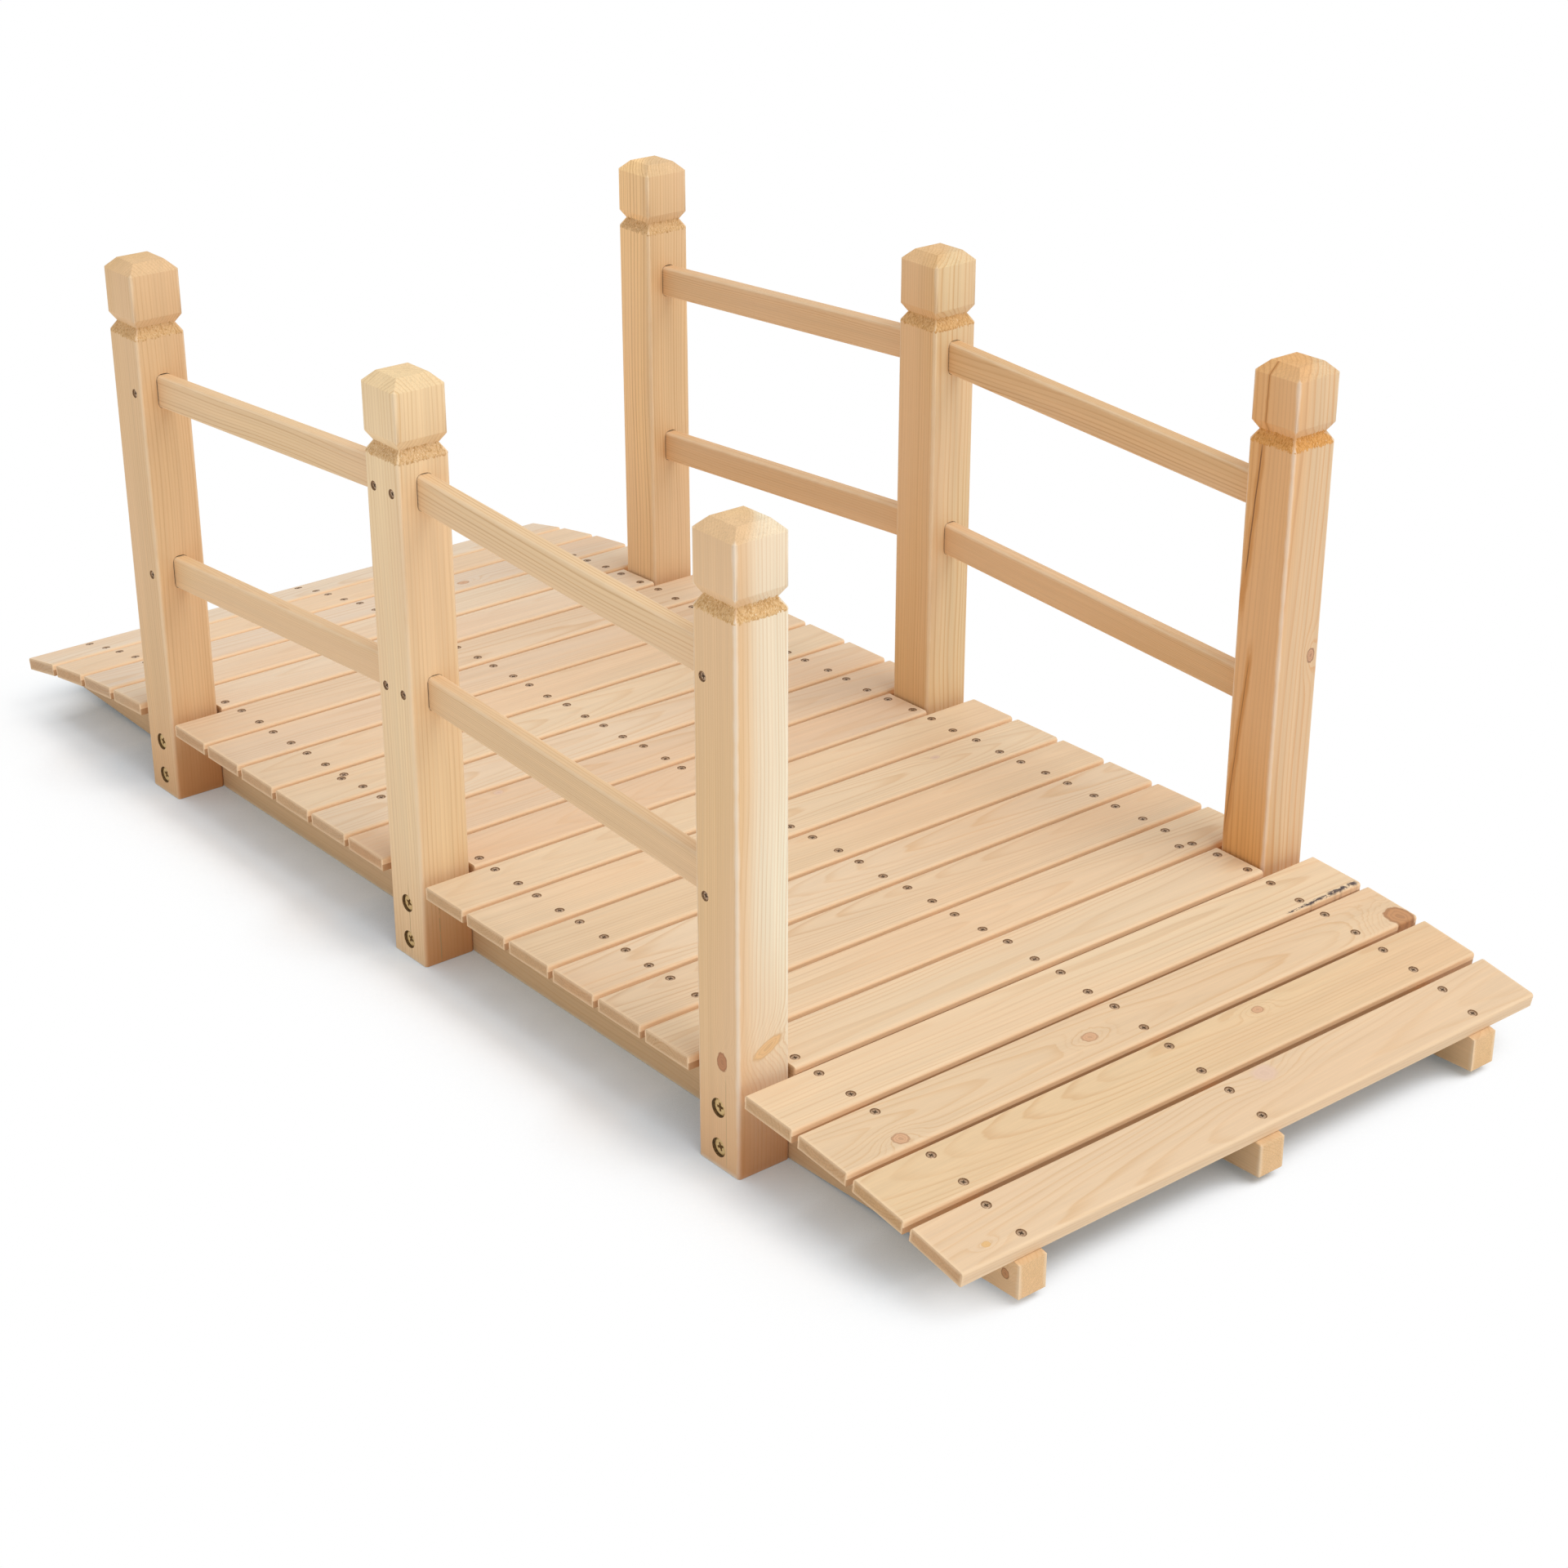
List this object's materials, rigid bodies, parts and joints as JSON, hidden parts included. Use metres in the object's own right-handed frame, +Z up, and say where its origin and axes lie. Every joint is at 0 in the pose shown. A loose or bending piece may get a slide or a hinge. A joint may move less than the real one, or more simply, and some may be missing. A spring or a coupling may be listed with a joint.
{
  "type": "wooden garden bridge",
  "caption": "Low softwood garden bridge with a slatted deck that slopes down at both ends, square grooved posts and sloping double rails on both sides.",
  "frame": {"origin": "on the ground, at the middle of the bridge in plan", "axes": "+X along the bridge towards its near end, +Y across it towards the right railing, +Z up"},
  "size_m": [1.5, 0.66, 0.55],
  "materials": {
    "runner_wood": "planed softwood, bare",
    "slat_wood": "planed softwood, bare",
    "post_wood": "planed softwood, bare",
    "rail_wood": "planed softwood, bare"
  },
  "bodies": {
    "root": {"runner_left": "runner_wood", "runner_centre": "runner_wood", "runner_right": "runner_wood", "slat_01": "slat_wood", "slat_02": "slat_wood", "slat_03": "slat_wood", "slat_04": "slat_wood", "slat_05": "slat_wood", "slat_06": "slat_wood", "slat_07": "slat_wood", "slat_08": "slat_wood", "slat_09": "slat_wood", "slat_10": "slat_wood", "slat_11": "slat_wood", "slat_12": "slat_wood", "slat_13": "slat_wood", "slat_14": "slat_wood", "slat_15": "slat_wood", "slat_16": "slat_wood", "slat_17": "slat_wood", "slat_18": "slat_wood", "slat_19": "slat_wood", "slat_20": "slat_wood", "slat_21": "slat_wood", "slat_22": "slat_wood", "slat_23": "slat_wood", "post_left_far": "post_wood", "post_left_mid": "post_wood", "post_left_near": "post_wood", "post_right_far": "post_wood", "post_right_mid": "post_wood", "post_right_near": "post_wood", "rail_left_far_top": "rail_wood", "rail_left_far_low": "rail_wood", "rail_left_near_top": "rail_wood", "rail_left_near_low": "rail_wood", "rail_right_far_top": "rail_wood", "rail_right_far_low": "rail_wood", "rail_right_near_top": "rail_wood", "rail_right_near_low": "rail_wood"}
  },
  "joints": []
}
